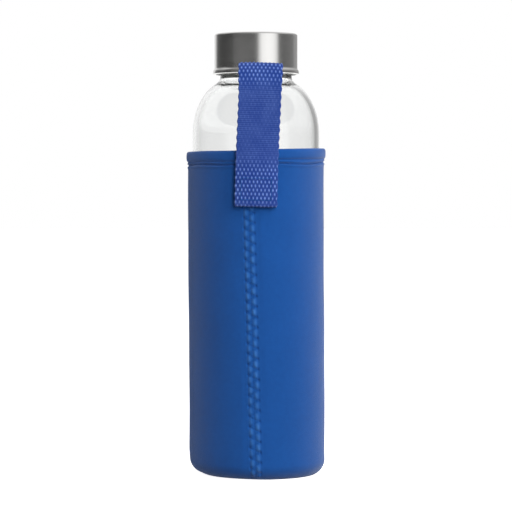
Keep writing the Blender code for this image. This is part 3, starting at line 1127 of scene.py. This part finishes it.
@dataclass
class ZigzagSeam:
    """The side seam: two cloth edges laid together and closed with zigzag stitches."""

    low: float
    high: float
    top_shift: float = -4.2 * MM
    pitch: float = 5.1 * MM
    reach: float = 2.6 * MM        # from the seam's line to its needle holes
    right_puff: float = 0.52 * MM
    left_puff: float = 0.40 * MM
    thread_radius: float = 0.13 * MM
    puff_places: Point = (-1.60 * MM, 1.50 * MM)    # middle of the left and right cushions
    puff_size: Point = (0.90 * MM, 1.55 * MM)       # their half width and half height
    hole_depths: Point = (0.40 * MM, 0.50 * MM)
    hole_size: Point = (0.50 * MM, 0.80 * MM)
    thread_press: float = 0.14 * MM                 # how deep the thread lies in the cloth
    creases: tuple[Triple, ...] = (                 # depth, place in reaches, half width
        (0.12 * MM, -1.0, 0.45 * MM), (0.10 * MM, 1.0, 0.60 * MM), (0.12 * MM, 0.0, 0.35 * MM))
    hollow: Triple = (0.14 * MM, 4.0 * MM, 1.5 * MM)  # depth, place and width, on both sides
    seed: int = 11

    def __post_init__(self) -> None:
        """Draws the small differences between one stitch and the next."""
        count = int((self.high - self.low) / self.pitch) + 4
        draw = np.random.default_rng(self.seed)
        self.swell = draw.uniform(0.72, 1.22, (2, count))
        self.drift = draw.uniform(-0.25, 0.25, (2, count)) * MM

    def line(self, height: Array) -> Array:
        """How far right of the front line the seam's line lies at each height."""
        return self.top_shift * np.clip(height / self.high, 0.0, 1.0)

    def puffs(self, across: Array, along: Array, side: int) -> Array:
        """Rounded cushions of cloth between the stitches on one side.

        Args:
            across: distance right of the seam's line.
            along: height.
            side: 1 for the right column, 0 for the left one.

        Returns:
            Height of the cushions, up to about 1.
        """
        turns = (along - self.low) / self.pitch + (0.0 if side else 0.5)
        number = np.clip(np.rint(turns).astype(int), 0, self.swell.shape[1] - 1)
        offset = (turns - np.rint(turns)) * self.pitch
        middle = self.puff_places[side] + self.drift[side][number]
        wide, tall = self.puff_size
        shape = np.exp(-((across - middle) / wide) ** 2 - np.abs(offset / tall) ** 3)
        return shape * self.swell[side][number]

    def holes(self, across: Array, along: Array, side: int) -> Array:
        """Dimples where the needle went through on one side, 1 at their middle.

        Args:
            across: distance right of the seam's line.
            along: height.
            side: 1 for the right column, 0 for the left one.

        Returns:
            Depth of the dimples, as a share.
        """
        turns = (along - self.low) / self.pitch + (0.5 if side else 0.0)
        offset = (turns - np.rint(turns)) * self.pitch
        middle = self.reach if side else -self.reach
        wide, tall = self.hole_size
        return np.exp(-((across - middle) / wide) ** 2 - (offset / tall) ** 2)

    def stitch_line(self, across: Array, along: Array) -> Array:
        """Closeness to the thread's zigzag, 1 on it.

        Args:
            across: distance right of the seam's line.
            along: height.

        Returns:
            Closeness, from 0 to 1.
        """
        turns = (along - self.low) / self.pitch
        path = self.reach * (4 * np.abs(turns - np.rint(turns)) - 1)
        steep = self.pitch / math.hypot(self.pitch, 4 * self.reach)
        near = np.abs(across) < self.reach + 0.4 * MM
        return bell((across - path) * steep, 0.0, 0.34 * MM) * near

    def relief(self, across: Array, along: Array) -> Array:
        """How far the cloth stands out from the plain tube round the seam.

        Args:
            across: distance right of the seam's line.
            along: height.

        Returns:
            Distance outwards in metres.
        """
        height = self.right_puff * self.puffs(across, along, 1)
        height += self.left_puff * self.puffs(across, along, 0)
        height -= self.thread_press * self.stitch_line(across, along)
        for side in (1, 0):
            height -= self.hole_depths[side] * self.holes(across, along, side)
        for depth, place, width in self.creases:
            height -= depth * bell(across, place * self.reach, width)
        height -= self.hollow[0] * bell(np.abs(across), *self.hollow[1:])
        return height * ease(along, 0.5 * MM, 3.0 * MM)

    def thread_points(self, radius: Callable[[Array], Array], steps: int = 9) -> Array:
        """The zigzag thread's places, dipping into the cloth at each needle hole.

        Args:
            radius: the plain tube's radius at each height.
            steps: points from one hole to the next.

        Returns:
            (n, 3) points.
        """
        halves = int((self.high - self.low) / self.pitch * 2)
        share = np.arange(halves * steps + 1) / steps
        whole = np.floor(share)
        part = share - whole
        side = np.where(whole % 2 == 0, -1.0, 1.0)
        across = self.reach * side * (1 - 2 * part)
        along = self.low + share * self.pitch / 2
        lift = (np.sin(math.pi * part) ** 0.5 - 1.1) * self.thread_radius
        out = radius(along) + self.relief(across, along) + lift
        angle = (across + self.line(along)) / radius(along)
        return np.column_stack([out * np.sin(angle), -out * np.cos(angle), along])


@dataclass
class NeopreneSleeve:
    """The sleeve: a tube drawn tight, with a turned hem, closed below by a sewn-in disc."""

    wall: float = 2.0 * MM
    hem_height: float = 5.2 * MM
    hem_thickness: float = 2.85 * MM
    stitch_drop: float = 6.85 * MM  # from the mouth down to the line of stitches under the hem
    heel: float = 7.4 * MM
    chamfer: float = 1.2 * MM
    stitch: float = 3.0 * MM
    fine: float = 0.26 * MM         # spacing of points near the seam
    coarse: float = 2.6 * MM
    fine_reach: float = 6.2 * MM
    skew: float = 0.45 * MM         # how far the lower half sits off to the right
    foot_skew: float = 0.70 * MM    # and its heel further still
    foot_skew_top: float = 0.2      # share of it that the right side keeps
    hem_power: float = 2 / 3        # roundness of the hem's section; 1 is an ellipse
    stitch_sink: float = 0.62 * MM  # how deep the hem's stitches pull the cloth
    stitch_swell: Point = (0.30 * MM, 0.34 * MM)    # below and above them
    crumple: float = 0.10 * MM      # slow waves of the loose cloth

    def __post_init__(self) -> None:
        """Takes the outer sizes from the frame and places the seam."""
        low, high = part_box("sleeve_tube")
        self.top = high[2]
        self.inner = (high[0] - low[0]) / 2 - self.hem_thickness
        self.outer = self.inner + self.wall
        disc_low, disc_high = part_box("sleeve_base")
        self.disc = (disc_high[0] - disc_low[0]) / 2
        self.seam = ZigzagSeam(1.0 * MM, self.top - self.stitch_drop - 1.6 * MM)

    def hem(self) -> list[Point]:
        """The turned hem, from its inside face over the top to the groove below it."""
        middle = (self.inner + self.hem_thickness / 2, self.top - self.hem_height / 2)
        points = []
        for angle in np.radians(np.linspace(180, -62, 44)):
            cosine, sine = math.cos(angle), math.sin(angle)
            across = math.copysign(abs(cosine) ** self.hem_power, cosine) * self.hem_thickness / 2
            up = math.copysign(abs(sine) ** self.hem_power, sine) * self.hem_height / 2
            points.append((middle[0] + across, middle[1] + up))
        return points

    def path(self) -> list[Point]:
        """The tube's section: up the inside, over the hem, down the outside and round the heel."""
        centre = (self.outer - self.heel, self.heel)
        inner_heel = self.heel - self.wall
        edge = self.disc + FIT
        hem = self.hem()
        points = straight((edge, self.chamfer), (edge, self.wall), MM)
        points += straight((edge, self.wall), (centre[0], self.wall), 2 * MM)
        points += arc(centre, (inner_heel, inner_heel), -90, 0, 8)[:-1]
        points += straight((self.inner, self.heel), hem[0], 5 * MM)
        points += hem
        points += straight((self.outer, hem[-1][1] - 0.25 * MM), (self.outer, self.heel), 0.30 * MM)
        points += arc(centre, (self.heel, self.heel), 0, -90, 30)
        points += straight((centre[0], 0.0), (edge + self.chamfer, 0.0), MM)[1:]
        points += straight((edge + self.chamfer, 0.0), (edge, self.chamfer), 0.6 * MM)
        points.append((edge, self.chamfer))
        return no_repeats(points)

    def columns(self) -> Array:
        """Places of the mesh's columns round the tube, closest together at the seam."""
        half = math.pi * self.outer
        middle = -1.2 * MM
        low, high = middle - self.fine_reach, middle + self.fine_reach
        left = np.linspace(-half, low, round((half + low) / self.coarse), endpoint=False)
        seam = np.linspace(low, high, round((high - low) / self.fine), endpoint=False)
        right = np.linspace(high, half, round((half - high) / self.coarse) + 1)
        return np.concatenate([left, seam, right])

    def top_wave(self, angle: Array) -> Array:
        """How far the hem rises or dips at each angle round the mouth."""
        return (0.5 + 0.85 * np.sin(angle) - 0.35 * bell(angle, -0.35, 0.35)) * MM

    def stitch_wave(self, angle: Array) -> Array:
        """How far the hem's line of stitches wanders, besides the wave of the mouth."""
        return (0.15 * np.sin(5 * angle) - 0.75 * bell(angle, 0.78, 0.42)) * MM

    def hem_relief(self, angle: Array, height: Array) -> Array:
        """The cloth pulled in by the stitches under the hem, and swollen on both sides.

        Args:
            angle: place round the mouth.
            height: height of the plain tube.

        Returns:
            Distance outwards in metres.
        """
        line = height - (self.top - self.stitch_drop) - self.stitch_wave(angle)
        pull = 1 + 0.35 * np.sin(angle * self.outer * 2 * math.pi / self.stitch)
        below, above = self.stitch_swell
        swell = above * bell(line, 0.95 * MM, 0.55 * MM) + below * bell(line, -0.95 * MM, 0.60 * MM)
        return swell - self.stitch_sink * pull * bell(line, 0.0, 0.36 * MM)

    def sideways(self, angle: Array, height: Array) -> Array:
        """How far the lower half, and its heel most of all, sits off to the right.

        Args:
            angle: place round the tube.
            height: height of the plain tube.

        Returns:
            Distance outwards in metres.
        """
        foot = np.minimum(np.sin(angle), self.foot_skew_top) * (1 - ease(height, 2 * MM, 14 * MM))
        return self.skew * np.sin(angle) * (1 - ease(height, 30 * MM, 125 * MM)) \
            + self.foot_skew * foot

    def build_tube(self) -> bpy.types.Object:
        """Rolls the flat-cut sheet into the tube, with its seam pressed and puckered."""
        path = np.array(self.path())
        across = self.columns()
        length = travelled(*path.T)
        tangent = directions(path, False)
        outside = length > length[np.argmax(path[:, 1])]

        def place(row: Array, column: Array) -> Array:
            """Rolls each point of the sheet into place.

            Args:
                row: place along the tube's section.
                column: place round the tube.

            Returns:
                (n, 3) points.
            """
            radius, height = path[row, 0], path[row, 1]
            angle = across[column] / self.outer
            relief = self.seam.relief(across[column] - self.seam.line(height), height)
            relief *= 1 - ease(height, self.seam.high - 1 * MM, self.seam.high + MM)
            relief += self.hem_relief(angle, height) * (height < self.top - self.hem_height)
            slow = np.sin(2 * angle + height * 55) * np.sin(height * 90 + angle)
            relief += self.crumple * slow + self.sideways(angle, height)
            relief *= outside[row] * ease(radius, self.disc + 0.6 * MM, self.disc + 5 * MM)
            near_top = ease(height, self.top - 30 * MM, self.top - self.hem_height)
            out = radius - relief * tangent[row, 1]
            up = height + relief * tangent[row, 0] + self.top_wave(angle) * near_top
            above_floor = np.maximum(up, 0.0)
            return np.column_stack([out * np.sin(angle), -out * np.cos(angle), above_floor])

        def cloth(row: Array, column: Array) -> Array:
            """Places on the flat cloth."""
            return np.column_stack([across[column], length[row]])

        tube = grid("sleeve_neoprene", len(path) - 1, len(across) - 1, place, cloth)
        x, y, z = read_points(tube).T
        aside = np.arctan2(x, -y) * self.outer - self.seam.line(z)
        # share of painted highlight on the seam's cushions, outer face only, kept for the finish
        stretch = np.maximum(self.seam.puffs(aside, z, 1), self.seam.puffs(aside, z, 0) * 0.8)
        stretch *= np.hypot(x, y) > self.inner + self.wall / 2
        stretch *= 1 - ease(z, self.seam.high - MM, self.seam.high)
        mark(tube, "stretch", stretch)
        return tube

    def build_base(self) -> bpy.types.Object:
        """The disc that closes the tube, with a soft pressed edge."""
        rim = self.disc
        pressed = (rim - 0.5 * MM, 0.35 * MM)
        points = [(0.0, self.wall)]
        points += round_corner((rim, self.wall), 0.4 * MM, Corner.TOP_OUTER, 4)
        points += bend((rim, self.chamfer), pressed, (rim - self.chamfer, 0.0), 6)
        points += [(rim * 0.6, 0.0), (rim * 0.3, 0.0), (0.0, 0.0)]
        disc = turn("sleeve_disc", points, 96)
        lay_cloth(disc, read_points(disc)[:, :2])
        return disc

    def stitch_ring(self, name: str, radius: float, height: float, thick: float,
                    outward: bool) -> bpy.types.Object:
        """A closed line of lockstitch, which dips into the cloth between its stitches.

        Args:
            name: the object's name.
            radius: radius of the stitch line.
            height: its height.
            thick: the thread's radius.
            outward: whether the stitches show on the side, or below.

        Returns:
            The thread.
        """
        count = round(2 * math.pi * radius / self.stitch)
        share = np.arange(count * 10) / 10
        part = share - np.floor(share)
        lift = (np.sin(math.pi * part) ** 0.6 - 0.55) * thick * 1.3
        angle = share / count * 2 * math.pi - math.pi
        if outward:
            out, up = radius + lift, height + self.top_wave(angle) + self.stitch_wave(angle)
        else:
            out, up = radius, height - lift
        points = np.column_stack([out * np.sin(angle), -out * np.cos(angle), up])
        return thread(name, points, thick, True)

    def tube_radius(self, height: Array) -> Array:
        """The plain tube's outer radius at each height, heel included."""
        drop = np.clip(self.heel - height, 0.0, self.heel)
        return self.outer - self.heel + np.sqrt(self.heel ** 2 - drop ** 2)

    def build(self, wardrobe: Wardrobe) -> None:
        """Models the tube, the disc and the three seams' threads.

        Args:
            wardrobe: the finishes.
        """
        tube = self.build_tube()
        close_up(tube, CLOTH_CRISP)
        disc = self.build_base()
        for piece, node in ((tube, "sleeve_tube"), (disc, "sleeve_base")):
            wardrobe.dress(piece, Slot.NEOPRENE)
            place_piece(piece, Body.SLEEVE, node)
        zigzag = self.seam.thread_points(self.tube_radius)
        hem_line = (self.outer - 0.42 * MM, self.top - self.stitch_drop)
        base_line = (self.disc + FIT / 2, 0.5 * MM)
        thin = self.seam.thread_radius
        seams = {
            "side_seam_thread": thread("side_zigzag_thread", zigzag, thin, False),
            "hem_thread": self.stitch_ring("hem_stitches", *hem_line, 0.20 * MM, True),
            "base_seam_thread": self.stitch_ring("base_stitches", *base_line, 0.25 * MM, False),
        }
        for node, piece in seams.items():
            wardrobe.dress(piece, Slot.THREAD)
            place_piece(piece, Body.SLEEVE, node)


# ------------------------------------------------------------------------- strap


@dataclass
class WebbingStrap:
    """The carry strap: one strip of webbing folded in half and sewn to the sleeve."""

    thickness: float = 1.3 * MM
    ply_gap: float = 0.2 * MM
    sewn_height: float = 16.6 * MM
    fold_radius: float = 2.3 * MM   # at the top, where the strip turns over
    slant: float = math.radians(38)
    roof_length: float = 2.6 * MM   # of the slanting part in front of the fold
    bow: float = -2.3 * MM          # how far the front layer bellies out
    bow_height: float = 0.70        # where it does so, as a share of the loop's height
    front_lead: float = 0.28        # share of that height where the front layer rises straight
    back_lead: float = 0.55         # the same for the back layer
    carry_on: float = 0.28          # how far the belly's own direction carries on above it
    sway: float = 0.75 * MM         # to the right, towards the top
    loop_clearance: float = 0.6 * MM
    lean: float = math.radians(1.35)
    yarn: float = 0.945 * MM
    pick: float = 1.98 * MM
    float_height: float = 0.26 * MM
    scallop: float = 0.20 * MM      # depth of the selvedge's waves
    curl: float = 0.9 * MM          # how far the sewn end's edges lean back
    arch: float = 0.30 * MM         # how far the fold's middle stands up
    shift: float = 0.30 * MM        # of the whole strip to the right
    inset: float = 3.0 * MM         # from the sewn end's edges to its stitches
    stitch: float = 2.6 * MM
    stitch_radius: float = 0.16 * MM
    face_columns: int = 96
    back_columns: int = 48

    def __post_init__(self) -> None:
        """Takes the places of the fold line and the loop from the frame."""
        joint = next(j for j in frame["joints"] if j["name"] == "strap_swing")
        self.hinge = Vector(joint["pos_m"])
        loop_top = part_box("strap_loop")[1][2] - 0.25 * MM
        self.crown = loop_top - self.hinge.z - self.thickness / 2 - self.fold_radius
        sewn_low, sewn_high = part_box("strap_sewn_end")
        self.width = sewn_high[0] - sewn_low[0] - self.sewn_height * math.sin(self.lean)
        glass_low, glass_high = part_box("glass_bottle")
        self.glass_radius = (glass_high[0] - glass_low[0]) / 2

    def path(self) -> list[Point]:
        """The strip's middle line, as (depth, height) from the fold line, once round."""
        front = self.thickness / 2
        back = front + self.thickness + self.ply_gap
        small = (back - front) / 2
        foot = small + self.thickness / 2 - self.sewn_height - 0.5 * MM
        rear = -(self.glass_radius + self.loop_clearance) - self.hinge.y - self.thickness / 2
        middle = (rear - self.fold_radius, self.crown)
        radii = (self.fold_radius, self.fold_radius)
        roof = arc(middle, radii, 180 - math.degrees(self.slant), 0, 24)
        down = np.array([-math.sin(self.slant), -math.cos(self.slant)])
        eave = tuple(np.array(roof[0]) + down * self.roof_length)
        under = tuple(np.array(eave) + down * self.roof_length)
        lead = (front, self.crown * self.front_lead)
        belly = (self.bow, self.crown * self.bow_height)
        onward = tuple(b + (b - a) * self.carry_on for a, b in zip(lead, belly))
        spacing = 0.30 * MM
        points = straight((front, foot), (front, 0.0), spacing)
        points += bend((front, 0.0), lead, belly, 110)
        points += bend(belly, onward, tuple((np.array(onward) + under) / 2), 24)[1:]
        points += bend(points[-1], under, eave, 24)[1:]
        points += straight(eave, roof[0], spacing)[1:] + roof
        points += bend((rear, self.crown), (back, self.crown * self.back_lead), (back, 0.0), 160)[1:]
        points += straight((back, 0.0), (back, foot), spacing)[1:]
        points += arc((front + small, foot), (small, small), 0, -180, 8)
        return no_repeats(points)

    def looseness_and_highlight(self, height: Array) -> Array:
        """How open the weave lies: slack where it is sewn or turned over, taut between. The same
        share weights the painted highlight on the floats.

        Args:
            height: height above the fold line.

        Returns:
            1 where the floats stand up fully, down to 0.07.
        """
        sewn = 1 - ease(height, -1 * MM, 9 * MM)
        foot = MM - self.sewn_height
        fold = 0.5 * (1 - ease(height, foot, foot + 3 * MM))
        near_top = ease(height, self.crown - 11 * MM, self.crown - 2 * MM)
        return 0.07 + 0.93 * np.maximum(sewn - fold, near_top)

    def weave(self, across: Array, along: Array, loose: Array) -> Array:
        """Height of the woven face: round warp floats, one row staggered against the next.

        Args:
            across: distance from the strip's left edge.
            along: distance along the strip.
            loose: how far the floats stand up, from 0 to 1.

        Returns:
            Distance outwards in metres.
        """
        column = np.floor(across / self.yarn)
        rounded = np.abs(np.sin(math.pi * across / self.yarn)) ** 0.7
        wave = np.sin(math.pi * along / self.pick + math.pi * column)
        rib = np.abs(np.cos(2 * math.pi * along / self.pick))
        floats = rounded * np.clip(wave, 0.0, 1.0) ** 1.1
        return self.float_height * (floats * loose + 0.30 * rib * (1 - loose) - 0.5)

    def build_strip(self) -> bpy.types.Object:
        """Lays the strip along its path, woven on both faces, with scalloped selvedges."""
        path = np.array(self.path())
        length = travelled(*path.T)
        tangent = directions(path, True)
        half = self.width / 2
        edge = self.thickness * 0.42
        face = np.linspace(-half + edge, half - edge, self.face_columns)
        turnover = np.radians(np.linspace(90, -90, 8)[1:-1])
        back = np.linspace(half - edge, -half + edge, self.back_columns)
        border_out = half - edge + edge * np.cos(turnover)
        side = np.concatenate([face, border_out, back, -border_out, face[:1]])
        lift = np.concatenate([np.ones(self.face_columns), np.sin(turnover),
                               -np.ones(self.back_columns), -np.sin(turnover), np.ones(1)])

        def place(row: Array, column: Array) -> Array:
            """Lays each point of the strip's skin.

            Args:
                row: place along the strip.
                column: place round its section.

            Returns:
                (n, 3) points.
            """
            along = length[row]
            x = side[column]
            border = ease(np.abs(x), half - edge, half)
            wave = np.sin(math.pi * along / self.pick + 0.6)
            aside = x + self.scallop * wave * np.sign(x) * border
            level = path[row, 1]
            behind = np.where(lift[column] < 0, self.pick, 0.0)
            woven = self.weave(x + half, along + behind, self.looseness_and_highlight(level))
            out = (self.thickness / 2 + woven * (1 - border)) * lift[column]
            near_top = ease(level, self.crown - 14 * MM, self.crown)
            middle = 1 - (x / half) ** 2
            curl = self.curl * (1 - middle) * (1 - ease(level, -2 * MM, 34 * MM))
            depth = path[row, 0] - out * tangent[row, 1] + curl
            height = path[row, 1] + out * tangent[row, 0] + self.arch * middle * near_top
            shift = self.shift + self.sway * ease(level, 0.0, 42 * MM)
            return np.column_stack([aside * (1 + 0.03 * near_top) + shift, depth, height])

        def cloth(row: Array, column: Array) -> Array:
            """Places on the flat strip, whose weave the finish repeats."""
            return np.column_stack([side[column] + half, length[row]])

        strip = grid("strap_webbing", len(path) - 1, len(side) - 1, place, cloth)
        # the looseness share is kept as well as the weight of the floats' painted highlight
        mark(strip, "loose", self.looseness_and_highlight(read_points(strip)[:, 2]))
        return strip

    def box_stitch(self) -> bpy.types.Object:
        """The closed line of stitches inside the edges of the sewn end."""
        half = self.width / 2 - self.inset
        top, bottom = -self.inset, self.inset - self.sewn_height
        corners = [(-half, top), (half, top), (half, bottom), (-half, bottom), (-half, top)]
        spacing = 0.25 * MM
        line = []
        for first, second in zip(corners, corners[1:]):
            line += straight(first, second, spacing)
        across, height = np.array(line).T
        share = np.arange(len(line)) * spacing / self.stitch
        lift = (np.abs(np.sin(math.pi * share)) ** 0.6 - 0.75) * 0.3 * MM
        depth = self.curl * (across / (self.width / 2)) ** 2 - lift
        points = np.column_stack([across + self.shift, depth, height])
        return thread("strap_box_stitch", points, self.stitch_radius, True)

    def settle(self, obj: bpy.types.Object) -> None:
        """Moves a piece from the fold line's own axes to its leaning place in the frame."""
        obj.data.transform(Matrix.Translation(self.hinge) @ Matrix.Rotation(self.lean, 4, "Y"))

    def build(self, wardrobe: Wardrobe) -> None:
        """Models the strip and its stitching.

        Args:
            wardrobe: the finishes.
        """
        strip = self.build_strip()
        close_up(strip, 70)
        self.settle(strip)
        wardrobe.dress(strip, Slot.WEBBING)
        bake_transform(strip)
        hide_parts("strap_loop", "strap_sewn_end")
        LOG.info("%s bends between sleeve and strap, %d faces", strip.name,
                 len(strip.data.polygons))
        stitches = self.box_stitch()
        self.settle(stitches)
        wardrobe.dress(stitches, Slot.THREAD)
        place_piece(stitches, Body.SLEEVE, "strap_stitching")


# ------------------------------------------------------------------------- studio


@dataclass(frozen=True)
class SoftBox:
    """One area light, aimed at the middle of the bottle."""

    name: str
    azimuth: float                 # degrees to the right of the camera, seen from the bottle
    elevation: float
    distance: float
    width: float
    height: float
    watts: float

    def build(self, target: Vector) -> None:
        """Adds the light.

        Args:
            target: the point that it is aimed at.
        """
        turned, up = math.radians(self.azimuth), math.radians(self.elevation)
        level = Vector((math.sin(turned), -math.cos(turned), 0.0))
        offset = level * math.cos(up) + Vector((0.0, 0.0, math.sin(up)))
        data = bpy.data.lights.new(self.name, "AREA")
        data.shape = "RECTANGLE"
        data.size, data.size_y = self.width, self.height
        data.energy = self.watts
        lamp = bpy.data.objects.new(self.name, data)
        bpy.context.scene.collection.objects.link(lamp)
        lamp.location = target + offset * self.distance
        lamp.rotation_euler = (-offset).to_track_quat("-Z", "Y").to_euler()
        lamp.visible_glossy = False
        lamp.visible_camera = False
        lamp.visible_transmission = False


@dataclass
class Studio:
    """A pale floor, a soft-box room whose panels show in the steel, and the camera."""

    eye_height: float = 147 * MM
    eye_distance: float = 1.2
    aim_height: float = 109.0 * MM
    lens: float = 168.45
    floor_radius: float = 6.0
    panels: tuple[tuple[float, float], ...] = (
        (-180, 1.00), (-150, 0.95), (-146, 0.75), (-140, 0.35), (-133, 0.15), (-118, 0.085),
        (-105, 0.06), (-72, 0.07), (-60, 0.14), (-45, 0.16), (-8, 0.14), (3, 0.22), (9, 0.85),
        (16, 1.35), (34, 1.50), (50, 1.40), (59, 1.05), (67, 0.22), (80, 0.15), (104, 0.19),
        (121, 0.24), (138, 0.42), (157, 0.36), (163, 0.75), (168, 1.00), (180, 1.00))
    panel_peak: float = 1.5
    ceiling: float = 0.62
    ceiling_tilt: float = 0.6      # how much brighter it is to the right, and darker to the left
    fill: float = 0.12
    backdrop: float = 1.0
    through_glass: float = 0.85    # level of the left wall behind the glass
    boxes: tuple[SoftBox, ...] = (
        SoftBox("front", 14, 15, 1.3, 0.40, 0.8, 11.5),
        SoftBox("key_right", 46, 28, 1.3, 0.4, 0.8, 8.5),
        SoftBox("rim_right", 118, 15, 1.3, 0.6, 1.1, 8.0),
        SoftBox("rim_left", -112, 15, 1.3, 0.6, 1.1, 5.0),
        SoftBox("overhead", 10, 75, 1.3, 0.9, 0.9, 5.0),
    )

    def build_camera(self) -> None:
        """Stands the camera in front of the strap, a little above the bottle's middle."""
        data = bpy.data.cameras.new("camera")
        data.lens = self.lens
        data.sensor_width = 36.0
        camera = bpy.data.objects.new("camera", data)
        bpy.context.scene.collection.objects.link(camera)
        camera.location = (0.0, -self.eye_distance, self.eye_height)
        target = Vector((0.0, 0.0, self.aim_height))
        camera.rotation_euler = (target - camera.location).to_track_quat("-Z", "Y").to_euler()
        bpy.context.scene.camera = camera

    def build_floor(self) -> None:
        """A wide pale table top with a barely visible grain."""
        bpy.ops.object.select_all(action="DESELECT")
        bpy.ops.mesh.primitive_circle_add(vertices=96, radius=self.floor_radius, fill_type="NGON",
                                          location=(0, 0, -0.0001))
        floor = bpy.context.object
        floor.name = "pale_floor"
        recipe = Recipe("pale_floor")
        recipe.give({"Roughness": 0.9, "Emission Strength": 0.9, "Specular IOR Level": 0.1,
                     "Emission Color": (1.0, 1.0, 1.0)})
        grain = recipe.noise(recipe.object_place(), 220.0)
        recipe.give({"Base Color": recipe.mixed(grain, (0.86, 0.86, 0.86), (0.88, 0.88, 0.88))})
        floor.data.materials.append(recipe.material)
        floor.visible_diffuse = False

    def build_room(self) -> None:
        """The world: white to the eye, with dark and bright panels in glossy reflections."""
        world = bpy.data.worlds.new("room")
        bpy.context.scene.world = world
        world.use_nodes = True
        bench = Bench(world.node_tree)
        right, away, up = bench.split(bench.node("ShaderNodeTexCoord").outputs["Generated"])
        turned = bench.number("ShaderNodeMath", {"operation": "ARCTAN2"},
                              {0: right, 1: away * -1.0}) * (1 / (2 * math.pi)) + 0.5
        stops = [((angle + 180) / 360, (level / self.panel_peak,) * 3)
                 for angle, level in self.panels]
        panels = bench.number("ShaderNodeValToRGB", {"stops": stops}, {0: turned})
        wall = panels * self.panel_peak
        overhead = bench.smooth_step(up, 0.05, 0.95)
        behind = bench.smooth_step(away, -0.1, 0.3)
        roof = (right * self.ceiling_tilt + 1.0) * self.ceiling * (1.0 - behind) + behind
        glossy = wall * (1.0 - overhead) + overhead * roof
        ray = bench.node("ShaderNodeLightPath").outputs
        through = Number(bench, ray["Is Transmission Ray"]) * bench.smooth_step(right, 0.1, -0.3)
        glossy = glossy * (1.0 - through * self.through_glass) + through * self.through_glass
        is_glossy = Number(bench, ray["Is Glossy Ray"])
        is_diffuse = Number(bench, ray["Is Diffuse Ray"])
        plain = is_diffuse * self.fill + (1.0 - is_diffuse) * self.backdrop
        background = world.node_tree.nodes["Background"]
        bench.feed(background.inputs["Strength"], glossy * is_glossy + plain * (1.0 - is_glossy))
        background.inputs["Color"].default_value = (1.0, 1.0, 1.0, 1.0)

    def build(self) -> None:
        """Sets up the camera, the floor, the room and the lights."""
        self.build_camera()
        self.build_floor()
        self.build_room()
        for box in self.boxes:
            box.build(Vector((0.0, 0.0, self.aim_height)))
        bpy.context.scene.view_settings.view_transform = "Standard"


# ------------------------------------------------------------------------- assembly


def main() -> None:
    """Builds every piece and the studio."""
    logging.basicConfig(level=logging.INFO, format="%(name)s: %(message)s")
    Studio().build()
    form = ThreadForm()
    strap = WebbingStrap()
    wardrobe = Wardrobe(strap.yarn, strap.pick)
    flask = GlassFlask(form)
    cap = ScrewCap(form, flask.neck_radius)
    flask.build(wardrobe, cap.thread_middle)
    cap.build(wardrobe)
    NeopreneSleeve().build(wardrobe)
    strap.build(wardrobe)


if __name__ == "__main__":
    main()
